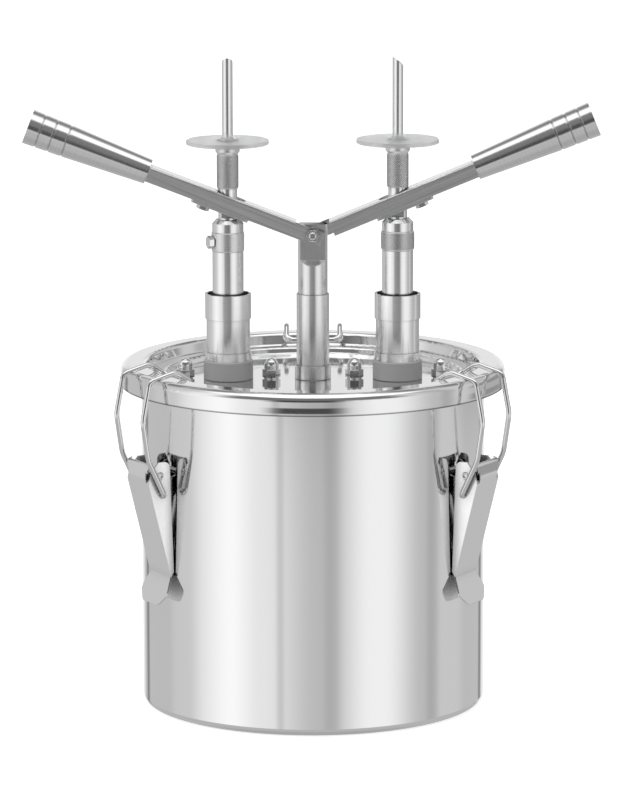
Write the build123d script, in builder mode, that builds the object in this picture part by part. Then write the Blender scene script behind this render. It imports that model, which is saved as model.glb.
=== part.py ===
"""Double donut filler: a latched stainless drum with two lever pumps on its lid.

Frame: origin at the centre of the drum's underside, +Z up, the two pumps along X, the side
with the free view of the pivot nut towards -Y. All sizes are in millimetres.
"""

from math import cos, pi, radians, sin, sqrt, tan
import os

from build123d import *

# ---------------------------------------------------------------- driving dimensions

# fits and clearances
running_fit = 0.05  # radial play of a pin, shaft or screw in its hole
seat_gap = 0.3  # gap between faces that belong to different moving bodies
step_gap = 0.02  # a face gap inside one body, where two turned pieces pass each other

# drum
drum_radius = 120.0
drum_sheet = 1.0
drum_height = 236.5  # underside of the drum to the top of its rim
drum_foot_bend = 4.5
drum_rim_width = 11.5
drum_rim_lip = 4.5
drum_rim_bend = 1.6

# lid and gasket
gasket_thickness = 3.5
gasket_bend_gap = 0.5  # from the gasket's edge to the bend of the lid's flange
lid_sheet = 1.0
lid_skirt_gap = 1.8  # between the drum's rim and the lid's skirt
lid_skirt_height = 15.4
lid_flange_width = 17.3
lid_flange_bend = 5.0
lid_throat_bend = 2.5
lid_recess_depth = 12.5
lid_ledge_depth = 8.3
lid_ledge_width = 10.7
lid_wall_draft = 1.8
lid_pan_bend = 1.5

# centre post
post_collar_radius = 12.7
post_collar_height = 9.9
post_sleeve_radius = 11.5
post_sleeve_height = 60.0
post_sleeve_floor = 3.0
post_rod_radius = 10.4
post_stud_radius = 6.0
post_nut_flats = 19.0
post_nut_height = 8.0
tongue_half = 5.5  # half the thickness of the milled tongue
tongue_rise = 7.0  # top of the tongue above the pivot
tongue_drop = 18.1  # edge of the milled flats below the pivot
tongue_slope = 3.5  # how much lower the milled shoulder runs at the rod's front
boss_radius = 5.0

# pivot bolt
pivot_bolt_radius = 2.5
pivot_head_height = 3.5
pivot_nut_height = 4.0
pivot_tip = 1.0
small_hex_flats = 8.0

# levers
lever_angle_left = 21.0  # at rest, above the horizontal
lever_angle_right = 22.4
press_angle = 30.0
channel_half = 9.3
channel_wall = 2.0
channel_top = 4.4  # web face above the pivot line
channel_bottom = 6.3  # open edge below the pivot line
channel_corner = 1.6
pivot_wall_end = 7.2
channel_cut = 14.1  # where the web and the far wall stop short of the post
lever_reach = 122.2  # pivot to the handle's inner end
web_slot_play = 0.45
tang_radius = 4.6
tang_in_handle = 45.0
tang_in_channel = 16.0

# handles
handle_length = 89.1
handle_axis = -0.3  # above the pivot line
handle_end_radius = 12.4
handle_waist_radius = 11.7
handle_inner_radius = 8.95
handle_grooves = (9.0, 18.2, 28.4)  # from the outer end
groove_half_width = 0.8
groove_depth = 0.8
handle_edge = 0.5

# key plates
plate_thickness = 2.0
plate_lead = 17.8  # from the plate's inner end to the stem
plate_length = 41.9
plate_half = 9.0
plate_screw_lead = 32.5  # from the plate's inner end to its screw
plate_screw_radius = 2.5
plate_screw_head = 3.2

# pumps, fixed pieces
stud_lead = 16.3  # from the post's collar to an inner stud
stud_edge = 13.5  # from an outer stud to the wall of the lid's pan
stud_radius = 3.0
stud_height = 10.0
bush_radius = 17.3
bush_height = 13.3
ring_radius = 16.2
ring_height = 5.9
sleeve_radius = 15.3
sleeve_height = 23.7
mouth_radius = 16.2
mouth_height = 17.3
mouth_bore = 14.7
mouth_depth = 14.5
neck_radius = 13.5
flange_thickness = 6.0
flange_radius = 21.0
flange_lobe = 8.0
guide_height = 8.5
cylinder_radius = 17.0
cylinder_bore = 15.0
cylinder_foot = 14.0  # foot of the cylinder above the drum's underside

# dome nuts
dome_nut_flats = 11.0
dome_nut_hex = 5.6
dome_nut_radius = 5.1
dome_nut_height = 14.4
dome_nut_face = 0.8
hex_chamfer = 0.5

# inlet valves
valve_seat_height = 10.0
valve_seat_bore = 5.0
cage_radius = 9.8
cage_wall = 1.6
cage_height = 16.0
cage_window = 7.0
inlet_ball_radius = 6.5
inlet_lift = 3.0

# pumps, moving pieces
cover_radius = 10.95
cover_wall = 1.5
cover_overlap = 9.4  # how far the cover tube stands in the narrow bore at rest
collar_radius = 11.5
collar_height = 13.5
collar_spigot = 6.6
stop_gap = 0.5  # left between the stop screw and the sleeve's mouth at full stroke
stop_screw_radius = 2.5
stop_screw_head = 3.5
stop_screw_turn = 22.0  # left-hand screw, towards the viewer, from straight outwards
stop_screw_turn_back = 75.0  # right-hand screw, away from the viewer
cap_radius = 11.0
cap_height = 8.6
cap_chamfer = 2.5
grip_gap = 4.8  # cap top to the middle of the grip flats
grip_flat = 5.0  # half the width across the stem's flats
grip_play = 0.8  # the right-hand fork rides this much higher in its flats
stem_radius = 6.65
stem_bore = 3.5
adapter_rise = 17.0  # foot of the needle holder above the grip
adapter_radius = 7.25  # root of its knurl
adapter_height = 24.2
adapter_socket = 9.0
hub_radius = 8.5
hub_height = 6.7
hub_flare = 1.6
nose_radius = 5.6
nose_tip_radius = 4.4
nose_height = 4.2
disc_radius = 28.75
disc_thickness = 3.0
disc_edge = 0.6
disc_sink = 1.4
needle_radius = 3.75
needle_wall = 0.8
needle_reach = 57.2  # needle tip above the disc
needle_bevel = 38.0

# pistons and springs
piston_drop = 9.5  # top of the piston below the stud flange
piston_length = 22.0
piston_radius = 14.9
piston_socket = 5.0
piston_inlet = 3.0
piston_lip = 2.5
seal_width = 3.0
seal_depth = 1.5
outlet_ball_radius = 4.0
outlet_chamber = 5.0
stem_slot = 2.0
spring_wire = 0.8
spring_radius = 8.1
spring_turns = 14

# latches
latch_back_angle = 90.0
latch_angle_step = 120.0
latch_pivot_reach = 10.0  # pivot outside the drum's wall
latch_pivot_drop = 67.0  # pivot below the lid's top
latch_pin_radius = 2.0
rivet_head_radius = 2.6
rivet_dimple = 1.3
rivet_head = 0.9
rivet_gap = 0.2
bracket_sheet = 1.5
bracket_half = 12.0
bracket_eye = 5.5
bracket_height = 16.0
latch_half = 15.5
latch_sheet = 1.2
latch_fold = 2.0
latch_back_gap = 2.5  # rear edge of the side plates outside the drum's wall
latch_head = 9.5  # top of the lever above its pivot
latch_web_reach = 10.5  # web outside the pivot at its widest
latch_foot_gap = 0.8
latch_heel_gap = 0.8  # rear edge outside the drum's wall at the foot
latch_foot_drop = 72.0
latch_tab_length = 21.5
latch_tab_angle = 24.0
latch_tab_half = 18.0
latch_tab_neck = 14.0
latch_tab_round = 6.0
latch_slot = 3.2
latch_slot_reach = 2.6  # how far the slot runs round the fold into the side plate
latch_knee = 11.0  # outer bend of the web at the pivot
foot_chamfer = 0.5
bail_radius = 1.85
bail_half = 19.2
bail_end_drop = 13.8  # wire ends below the latch pivot
bail_end_inset = 1.5  # wire ends nearer to the drum than the pivot
bail_end_bend = 3.0
bail_knee_out = 11.0  # outside the latch pivot
bail_knee_rise = 12.0  # above the latch pivot
bail_bulge_out = 15.3
bail_bulge_rise = 39.5
bail_shoulder_out = 5.4  # outside the lid's skirt
bail_crest_out = 2.0  # outside the throat of the lid
bail_crest_height = 5.1  # above the lid's top
bail_hook_in = 11.0  # inside the throat of the lid
bail_hook_drop = 3.5  # below the lid's top
bail_hook_bend = 6.0
bail_bulge_bend = 20.0
bail_shoulder_bend = 5.0
bail_crest_bend = 8.0

# ---------------------------------------------------------------- places worked out

lid_top = drum_height + gasket_thickness + lid_sheet
lid_floor = lid_top - lid_recess_depth
lid_under = lid_floor - lid_sheet
drum_inner = drum_radius - drum_sheet
lid_skirt_radius = drum_radius + drum_rim_width + lid_skirt_gap + lid_sheet
lid_throat = lid_skirt_radius - lid_flange_width
lid_ledge = lid_throat - lid_wall_draft
lid_pan = lid_ledge - lid_ledge_width
stud_inner = post_collar_radius + stud_lead
stud_outer = lid_pan - lid_wall_draft - stud_edge
pump_offset = (stud_outer + stud_inner) / 2
stud_offset = (stud_outer - stud_inner) / 2

bush_top = lid_floor + bush_height
ring_top = bush_top + ring_height
seam_z = ring_top + sleeve_height
mouth_top = seam_z + mouth_height
mouth_floor = mouth_top - mouth_depth
flange_under = lid_under - flange_thickness
neck_foot = flange_under - 2.0 * running_fit
guide_top = neck_foot + guide_height
sleeve_bore = cover_radius + running_fit

lever_angles = {"left": lever_angle_left, "right": lever_angle_right}
sides = (("left", -1), ("right", 1))
grip_drop = channel_bottom + plate_thickness / 2


def grip_rise(angle):
    """Height of the key plate's middle above the pivot, on the pump's axis."""
    return (pump_offset * sin(radians(angle)) - grip_drop) / cos(radians(angle))


hex_reach = small_hex_flats / sqrt(3.0)
strokes = {name: grip_rise(a) - grip_rise(a - press_angle) for name, a in lever_angles.items()}
stop_z = mouth_top + strokes["left"] + stop_gap + hex_reach
collar_foot = stop_z - collar_height / 2
cap_foot = collar_foot + collar_height
cap_top = cap_foot + cap_height
grip_z = cap_top + grip_gap
pivot_z = grip_z - grip_rise(lever_angle_left)
lifts = {"left": 0.0, "right": grip_rise(lever_angle_right) - grip_rise(lever_angle_left) - grip_play}

adapter_foot = grip_z + adapter_rise
hub_foot = adapter_foot + adapter_height
disc_foot = hub_foot + hub_height
disc_top = disc_foot + disc_thickness
needle_tip = disc_top + needle_reach
needle_foot = adapter_foot + adapter_socket
cover_foot = mouth_floor - cover_overlap
piston_top = flange_under - piston_drop
piston_foot = piston_top - piston_length
stem_foot = piston_top - piston_socket
spring_foot = guide_top
spring_top = collar_foot - collar_spigot

post_top = pivot_z + tongue_rise
flats_z = pivot_z - tongue_drop
sleeve_top = lid_floor + post_sleeve_height
rod_foot = lid_floor + post_sleeve_floor
wall_inner = channel_half - channel_wall
plate_start = pump_offset / cos(radians(lever_angle_left)) - plate_lead
plate_screw_place = plate_start + plate_screw_lead

latch_pivot_r = drum_radius + latch_pivot_reach
latch_pivot_z = lid_top - latch_pivot_drop
bail_end_r = latch_pivot_r - bail_end_inset
bail_end_z = latch_pivot_z - bail_end_drop
latch_azimuths = (
    ("back", latch_back_angle),
    ("left", latch_back_angle + latch_angle_step),
    ("right", latch_back_angle + 2 * latch_angle_step),
)

# ---------------------------------------------------------------- helpers

os.makedirs("parts", exist_ok=True)


def write(piece, node):
    """Label a finished piece and write it under its node's name."""
    piece.part.label = node
    export_step(piece.part, f"parts/{node}.step")


def upright(x=0.0):
    """The vertical plane y = 0 through x, drawn as (radius, height)."""
    return Plane(origin=(x, 0, 0), x_dir=(1, 0, 0), z_dir=(0, -1, 0))


def outline(points, plane, bends=0.0):
    """A closed outline on a plane; bends rounds its corners."""
    with BuildSketch(plane) as drawn:
        with BuildLine():
            if bends:
                FilletPolyline(*points, radius=bends, close=True)
            else:
                Polyline(*points, close=True)
        make_face()
    return drawn.sketch


def sheet_section(points, bends, sheet, plane):
    """The cross-section of a bent sheet whose middle line runs through the points."""
    with BuildSketch(plane) as drawn:
        with BuildLine():
            FilletPolyline(*points, radius=bends)
        trace(line_width=sheet)
    return drawn.sketch


def circles(plane, *radii):
    """A disc, or a ring where a second radius is given."""
    with BuildSketch(plane) as drawn:
        Circle(radii[0])
        if len(radii) > 1:
            Circle(radii[1], mode=Mode.SUBTRACT)
    return drawn.sketch


def hexagon(plane, flats, bore=0.0):
    """A hexagon by its width across flats, with an optional bore."""
    with BuildSketch(plane) as drawn:
        RegularPolygon(radius=flats / 2, side_count=6, major_radius=False)
        if bore:
            Circle(bore, mode=Mode.SUBTRACT)
    return drawn.sketch


def vertical(x=0.0):
    """The vertical axis through x."""
    return Axis((x, 0, 0), (0, 0, 1))


def at(frame, origin, x_dir, z_dir):
    """A plane given in the coordinates of another frame."""
    place = frame.from_local_coords(Vector(*origin))
    along = frame.from_local_coords(Vector(*x_dir)) - frame.origin
    facing = frame.from_local_coords(Vector(*z_dir)) - frame.origin
    return Plane(origin=place, x_dir=along, z_dir=facing)


# ---------------------------------------------------------------- drum and lid

with BuildPart() as drum:
    wall = drum_radius - drum_sheet / 2
    rim = drum_height - drum_sheet / 2
    shell = [
        (0, drum_sheet / 2),
        (wall, drum_sheet / 2),
        (wall, rim),
        (wall + drum_rim_width, rim),
        (wall + drum_rim_width, rim - drum_rim_lip),
    ]
    bends = [drum_foot_bend, drum_rim_bend, drum_rim_bend]
    revolve(sheet_section(shell, bends, drum_sheet, upright()), axis=vertical())
write(drum, "drum")

with BuildPart() as lid:
    half = lid_sheet / 2
    skirt = lid_skirt_radius - half
    pressing = [
        (skirt, lid_top - lid_skirt_height),
        (skirt, lid_top - half),
        (lid_throat, lid_top - half),
        (lid_ledge, lid_top - lid_ledge_depth - half),
        (lid_pan, lid_top - lid_ledge_depth - half),
        (lid_pan - lid_wall_draft, lid_floor - half),
        (0, lid_floor - half),
    ]
    bends = [lid_flange_bend, lid_throat_bend, lid_pan_bend, lid_pan_bend, lid_pan_bend]
    revolve(sheet_section(pressing, bends, lid_sheet, upright()), axis=vertical())
    floor_plane = Plane.XY.offset(lid_under - lid_sheet)
    with BuildSketch(floor_plane) as openings:
        Circle(post_stud_radius + running_fit)
        with Locations((-pump_offset, 0), (pump_offset, 0)):
            Circle(neck_radius + running_fit)
            with Locations((-stud_offset, 0), (stud_offset, 0)):
                Circle(stud_radius + running_fit)
    extrude(amount=3 * lid_sheet, mode=Mode.SUBTRACT)
write(lid, "lid")

with BuildPart() as lid_gasket:
    gasket_inner = drum_radius + drum_rim_bend
    gasket_outer = lid_skirt_radius - lid_sheet - lid_flange_bend - gasket_bend_gap
    extrude(
        circles(Plane.XY.offset(drum_height), gasket_outer, gasket_inner),
        amount=gasket_thickness,
    )
write(lid_gasket, "lid_gasket")

# ---------------------------------------------------------------- centre post

with BuildPart() as post_sleeve:
    bore = post_rod_radius + running_fit
    stud_hole = post_stud_radius + running_fit
    collar_top = lid_floor + post_collar_height
    revolve(
        outline(
            [
                (stud_hole, lid_floor),
                (post_collar_radius - foot_chamfer, lid_floor),
                (post_collar_radius, lid_floor + foot_chamfer),
                (post_collar_radius, collar_top),
                (post_sleeve_radius, collar_top),
                (post_sleeve_radius, sleeve_top),
                (bore, sleeve_top),
                (bore, rod_foot),
                (stud_hole, rod_foot),
            ],
            upright(),
        ),
        axis=vertical(),
    )
write(post_sleeve, "post_sleeve")

with BuildPart() as post_rod:
    nut_foot = lid_under - post_nut_height
    revolve(
        outline(
            [
                (0, nut_foot - pivot_tip),
                (post_stud_radius, nut_foot - pivot_tip),
                (post_stud_radius, rod_foot),
                (post_rod_radius, rod_foot),
                (post_rod_radius, post_top),
                (0, post_top),
            ],
            upright(),
        ),
        axis=vertical(),
    )
    # the two milled flats, with a sloping shoulder at their lower end
    for face in (-1, 1):
        far = post_rod_radius + pivot_tip
        with BuildSketch(Plane.YZ.offset(-far)) as cut:
            with BuildLine():
                Polyline(
                    (face * tongue_half, flats_z),
                    (face * post_rod_radius, flats_z - tongue_slope),
                    (face * far, flats_z - tongue_slope),
                    (face * far, post_top + pivot_tip),
                    (face * tongue_half, post_top + pivot_tip),
                    close=True,
                )
            make_face()
        extrude(amount=2 * far, mode=Mode.SUBTRACT)
    # round bosses that the side walls of the levers run against
    boss_plane = Plane(origin=(0, 0, pivot_z), x_dir=(1, 0, 0), z_dir=(0, -1, 0))
    extrude(circles(boss_plane, boss_radius), amount=wall_inner - seat_gap, both=True)
    bolt_hole = pivot_bolt_radius + running_fit
    extrude(circles(boss_plane, bolt_hole), amount=2 * channel_half, both=True, mode=Mode.SUBTRACT)
write(post_rod, "post_rod")

with BuildPart() as post_nut:
    nut_plane = Plane.XY.offset(lid_under - post_nut_height)
    nut_bore = post_stud_radius + running_fit
    extrude(hexagon(nut_plane, post_nut_flats, nut_bore), amount=post_nut_height)
write(post_nut, "post_nut")

bolt_side = channel_half + seat_gap

with BuildPart() as pivot_bolt:
    head_plane = Plane(origin=(0, bolt_side, pivot_z), x_dir=(1, 0, 0), z_dir=(0, 1, 0))
    extrude(hexagon(head_plane, small_hex_flats), amount=pivot_head_height)
    shank = 2 * bolt_side + pivot_nut_height + pivot_tip
    extrude(circles(head_plane, pivot_bolt_radius), amount=-shank)
    chamfer(pivot_bolt.edges().filter_by(GeomType.CIRCLE).sort_by(Axis.Y)[0], length=pivot_tip / 2)
write(pivot_bolt, "pivot_bolt")

with BuildPart() as pivot_nut:
    nut_face = Plane(origin=(0, -bolt_side, pivot_z), x_dir=(1, 0, 0), z_dir=(0, -1, 0))
    extrude(hexagon(nut_face, small_hex_flats, pivot_bolt_radius + running_fit), amount=pivot_nut_height)
write(pivot_nut, "pivot_nut")

# ---------------------------------------------------------------- fixed pump pieces

dome_centre = dome_nut_height - dome_nut_radius

with BuildPart() as dome_nuts:
    for pump in (-pump_offset, pump_offset):
        for stud in (-stud_offset, stud_offset):
            x = pump + stud
            seat = Plane(origin=(x, 0, lid_floor), x_dir=(1, 0, 0), z_dir=(0, 0, 1))
            with BuildSketch(seat.offset(dome_nut_face)):
                RegularPolygon(radius=dome_nut_flats / 2, side_count=6, major_radius=False)
            extrude(amount=dome_nut_hex)
            face_radius = dome_nut_flats / 2
            extrude(circles(seat, face_radius), amount=dome_nut_face)
            with BuildSketch(upright(x)) as dome:
                with BuildLine():
                    top = lid_floor + dome_nut_height
                    middle = lid_floor + dome_centre
                    Line((0, lid_floor + dome_nut_face), (dome_nut_radius, lid_floor + dome_nut_face))
                    Line((dome_nut_radius, lid_floor + dome_nut_face), (dome_nut_radius, middle))
                    RadiusArc((dome_nut_radius, middle), (0, top), -dome_nut_radius)
                    Line((0, top), (0, lid_floor + dome_nut_face))
                make_face()
            revolve(axis=vertical(x))
            stud_hole = circles(seat, stud_radius + running_fit)
            extrude(stud_hole, amount=stud_height + running_fit, mode=Mode.SUBTRACT)
write(dome_nuts, "dome_nuts")

with BuildPart() as stud_flanges:
    for x in (-pump_offset, pump_offset):
        with BuildSketch(Plane.XY.offset(flange_under)) as plate:
            with Locations((x, 0)):
                Circle(flange_radius)
                SlotCenterToCenter(2 * stud_offset, 2 * flange_lobe)
                Circle(neck_radius + running_fit, mode=Mode.SUBTRACT)
        extrude(amount=flange_thickness)
        with BuildSketch(Plane.XY.offset(lid_under)) as studs:
            with Locations((x - stud_offset, 0), (x + stud_offset, 0)):
                Circle(stud_radius)
        extrude(amount=lid_sheet + stud_height)
write(stud_flanges, "stud_flanges")

with BuildPart() as stem_guides:
    for x in (-pump_offset, pump_offset):
        with BuildSketch(Plane.XY.offset(neck_foot)) as ring:
            with Locations((x, 0)):
                Circle(sleeve_bore - step_gap)
                Circle(stem_radius + running_fit, mode=Mode.SUBTRACT)
        extrude(amount=guide_height)
write(stem_guides, "stem_guides")

with BuildPart() as inlet_valves:
    seat_foot = cylinder_foot + drum_sheet
    seat_top = seat_foot + valve_seat_height
    cage_top = seat_top + cage_height
    for x in (-pump_offset, pump_offset):
        with BuildSketch(upright(x)) as cage:
            with BuildLine():
                Polyline(
                    (valve_seat_bore, seat_foot),
                    (cylinder_bore - step_gap, seat_foot),
                    (cylinder_bore - step_gap, seat_top),
                    (cage_radius, seat_top),
                    (cage_radius, cage_top),
                    (valve_seat_bore, cage_top),
                    (valve_seat_bore, cage_top - cage_wall),
                    (cage_radius - cage_wall, cage_top - cage_wall),
                    (cage_radius - cage_wall, seat_top),
                    (valve_seat_bore, seat_top),
                    close=True,
                )
            make_face()
        revolve(axis=vertical(x))
        # windows through which the filling leaves the cage
        window_height = cage_height - 3 * cage_wall
        window_middle = seat_top + cage_wall + window_height / 2
        for facing in ((1, 0, 0), (0, 1, 0)):
            window_plane = Plane(origin=(x, 0, window_middle), z_dir=facing)
            across = (0, 1, 0) if facing[0] else (1, 0, 0)
            window_plane = Plane(origin=(x, 0, window_middle), x_dir=across, z_dir=facing)
            with BuildSketch(window_plane) as window:
                Rectangle(cage_window, window_height)
            extrude(amount=cage_radius + cage_wall, both=True, mode=Mode.SUBTRACT)
write(inlet_valves, "inlet_valves")

# a ball rests on the edge of its bore
inlet_ball_z = seat_top + sqrt(inlet_ball_radius**2 - valve_seat_bore**2) + running_fit
chamber_foot = piston_foot + piston_lip
outlet_ball_z = chamber_foot + sqrt(outlet_ball_radius**2 - piston_inlet**2) + running_fit

for name, side in sides:
    x = side * pump_offset
    lift = lifts[name]

    with BuildPart() as lid_bush:
        bush_plane = Plane(origin=(x, 0, lid_floor))
        extrude(circles(bush_plane, bush_radius, neck_radius + running_fit), amount=bush_height)
        chamfer(lid_bush.edges().group_by(Axis.Z)[-1].sort_by(SortBy.RADIUS)[-1], length=disc_edge)
        chamfer(lid_bush.edges().group_by(Axis.Z)[0].sort_by(SortBy.RADIUS)[-1], length=foot_chamfer)
    write(lid_bush, f"lid_bush_{name}")

    with BuildPart() as guide_sleeve:
        revolve(
            outline(
                [
                    (sleeve_bore, neck_foot),
                    (neck_radius, neck_foot),
                    (neck_radius, bush_top),
                    (ring_radius, bush_top),
                    (ring_radius, ring_top),
                    (sleeve_radius, ring_top),
                    (sleeve_radius, seam_z),
                    (mouth_radius, seam_z),
                    (mouth_radius, mouth_top),
                    (mouth_bore, mouth_top),
                    (mouth_bore, mouth_floor),
                    (sleeve_bore, mouth_floor),
                ],
                upright(x),
            ),
            axis=vertical(x),
        )
    write(guide_sleeve, f"guide_sleeve_{name}")

    with BuildPart() as cylinder:
        tube_plane = Plane(origin=(x, 0, cylinder_foot))
        tube = circles(tube_plane, cylinder_radius, cylinder_bore)
        extrude(tube, amount=flange_under - cylinder_foot)
    write(cylinder, f"cylinder_{name}")

    with BuildPart() as inlet_ball:
        with Locations((x, 0, inlet_ball_z)):
            Sphere(inlet_ball_radius)
    write(inlet_ball, f"inlet_ball_{name}")

    # ------------------------------------------------------------ moving pump pieces

    with BuildPart() as piston:
        groove_top = piston_foot + (piston_length + seal_width) / 2
        groove_foot = groove_top - seal_width
        revolve(
            outline(
                [
                    (piston_inlet, piston_foot + lift),
                    (piston_radius, piston_foot + lift),
                    (piston_radius, groove_foot + lift),
                    (piston_radius - seal_depth, groove_foot + lift),
                    (piston_radius - seal_depth, groove_top + lift),
                    (piston_radius, groove_top + lift),
                    (piston_radius, piston_top + lift),
                    (stem_radius + running_fit, piston_top + lift),
                    (stem_radius + running_fit, stem_foot + lift),
                    (outlet_chamber, stem_foot + lift),
                    (outlet_chamber, chamber_foot + lift),
                    (piston_inlet, chamber_foot + lift),
                ],
                upright(x),
            ),
            axis=vertical(x),
        )
    write(piston, f"piston_{name}")

    with BuildPart() as piston_seal:
        seal_plane = Plane(origin=(x, 0, groove_foot + lift))
        seal_outer = (piston_radius + cylinder_bore) / 2
        seal_inner = piston_radius - seal_depth + step_gap
        extrude(circles(seal_plane, seal_outer, seal_inner), amount=seal_width)
    write(piston_seal, f"piston_seal_{name}")

    with BuildPart() as outlet_ball:
        with Locations((x, 0, outlet_ball_z + lift)):
            Sphere(outlet_ball_radius)
    write(outlet_ball, f"outlet_ball_{name}")

    with BuildPart() as stem:
        stem_plane = Plane(origin=(x, 0, stem_foot + lift))
        stem_length = needle_foot - stem_foot
        extrude(circles(stem_plane, stem_radius, stem_bore), amount=stem_length)
        # flats that the fork of the key plate grips, tall enough for its tilt
        steep = radians(lever_angles[name])
        tilt = grip_flat * tan(steep) + plate_thickness / 2 / cos(steep) + seat_gap
        grip_low = grip_z + lift - tilt
        grip_high = grip_z + lift + tilt + (grip_play if name == "right" else 0.0)
        with BuildSketch(Plane(origin=(x, 0, grip_low))) as flats:
            with GridLocations(0, 4 * grip_flat, 1, 2):
                Rectangle(4 * stem_radius, 2 * grip_flat)
        extrude(amount=grip_high - grip_low, mode=Mode.SUBTRACT)
        # cross slot that keeps the way open when the ball lifts against the stem
        with BuildSketch(stem_plane) as slot:
            Rectangle(4 * stem_radius, stem_slot)
        extrude(amount=stem_slot, mode=Mode.SUBTRACT)
    write(stem, f"stem_{name}")

    with BuildPart() as cover_tube:
        cover_plane = Plane(origin=(x, 0, cover_foot + lift))
        cover = circles(cover_plane, cover_radius, cover_radius - cover_wall)
        extrude(cover, amount=collar_foot - cover_foot)
    write(cover_tube, f"cover_tube_{name}")

    with BuildPart() as stop_collar:
        revolve(
            outline(
                [
                    (stem_radius + running_fit, spring_top + lift),
                    (cover_radius - cover_wall - step_gap, spring_top + lift),
                    (cover_radius - cover_wall - step_gap, collar_foot + lift),
                    (collar_radius, collar_foot + lift),
                    (collar_radius, cap_foot + lift),
                    (stem_radius + running_fit, cap_foot + lift),
                ],
                upright(x),
            ),
            axis=vertical(x),
        )
        # tapped hole for the stop screw
        turn = radians(stop_screw_turn if side < 0 else stop_screw_turn_back)
        outward = (side * cos(turn), side * sin(turn), 0)
        screw_plane = Plane(origin=(x, 0, stop_z + lift), x_dir=(0, 0, 1), z_dir=outward)
        screw_hole = circles(screw_plane, stop_screw_radius + running_fit)
        extrude(screw_hole, amount=2 * collar_radius, mode=Mode.SUBTRACT)
        rim_edges = stop_collar.edges().filter_by(GeomType.CIRCLE).group_by(SortBy.RADIUS)[-1]
        chamfer(rim_edges, length=hex_chamfer)
    write(stop_collar, f"stop_collar_{name}")

    with BuildPart() as stop_screw:
        head_seat = screw_plane.offset(collar_radius + step_gap)
        extrude(hexagon(head_seat, small_hex_flats), amount=stop_screw_head)
        shank_reach = collar_radius - stem_radius - running_fit
        extrude(circles(head_seat, stop_screw_radius), amount=-shank_reach)
    write(stop_screw, f"stop_screw_{name}")

    with BuildPart() as cap:
        cap_plane = Plane(origin=(x, 0, cap_foot + lift))
        extrude(circles(cap_plane, cap_radius, stem_radius + running_fit), amount=cap_height)
        chamfer(cap.edges().group_by(Axis.Z)[-1].sort_by(SortBy.RADIUS)[-1], length=cap_chamfer)
    write(cap, f"cap_{name}")

    with BuildPart() as adapter:
        revolve(
            outline(
                [
                    (stem_radius + running_fit, adapter_foot + lift),
                    (adapter_radius, adapter_foot + lift),
                    (adapter_radius, hub_foot + lift),
                    (hub_radius, hub_foot + hub_flare + lift),
                    (hub_radius, disc_foot + lift),
                    (nose_radius, disc_foot + lift),
                    (nose_radius, disc_foot + disc_thickness - disc_sink + lift),
                    (nose_tip_radius, disc_foot + nose_height + lift),
                    (needle_radius + step_gap, disc_foot + nose_height + lift),
                    (needle_radius + step_gap, needle_foot + lift),
                    (stem_radius + running_fit, needle_foot + lift),
                ],
                upright(x),
            ),
            axis=vertical(x),
        )
    write(adapter, f"adapter_{name}")

    with BuildPart() as disc:
        disc_plane = Plane(origin=(x, 0, disc_foot + lift))
        extrude(circles(disc_plane, disc_radius, nose_radius + running_fit), amount=disc_thickness)
        round_edges = disc.edges().filter_by(GeomType.CIRCLE).group_by(SortBy.RADIUS)[-1]
        fillet(round_edges, radius=disc_edge)
        chamfer(disc.edges().group_by(Axis.Z)[-1].sort_by(SortBy.RADIUS)[0], length=disc_sink)
    write(disc, f"disc_{name}")

    with BuildPart() as needle:
        needle_plane = Plane(origin=(x, 0, needle_foot + lift))
        tube = circles(needle_plane, needle_radius, needle_radius - needle_wall)
        extrude(tube, amount=needle_tip - needle_foot)
        # the bevel falls along +X on the right-hand needle and away from the front on the left
        fall = (1, 0, 0) if name == "right" else (0, 1, 0)
        tip_point = (
            x - fall[0] * needle_radius,
            -fall[1] * needle_radius,
            needle_tip + lift,
        )
        slant = radians(needle_bevel)
        facing = (fall[0] * sin(slant), fall[1] * sin(slant), cos(slant))
        sideways = (0, 1, 0) if name == "right" else (-1, 0, 0)
        bevel_plane = Plane(origin=tip_point, x_dir=sideways, z_dir=facing)
        with BuildSketch(bevel_plane) as bevel:
            Circle(8 * needle_radius)
        extrude(amount=8 * needle_radius, mode=Mode.SUBTRACT)
    write(needle, f"needle_{name}")

    with BuildPart() as spring:
        coil_height = spring_top + lift - spring_foot - 2 * spring_wire
        coil_pitch = coil_height / spring_turns
        with BuildLine() as coil:
            Helix(coil_pitch, coil_height, spring_radius, center=(x, 0, spring_foot + spring_wire))
        with BuildSketch(Plane(origin=coil.line @ 0, z_dir=coil.line % 0)) as wire:
            Circle(spring_wire)
        sweep(is_frenet=True)
    write(spring, f"spring_{name}")
    print(f"spring_{name}: gap between turns {coil_pitch - 2 * spring_wire:.2f} mm")

# ---------------------------------------------------------------- levers

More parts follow.
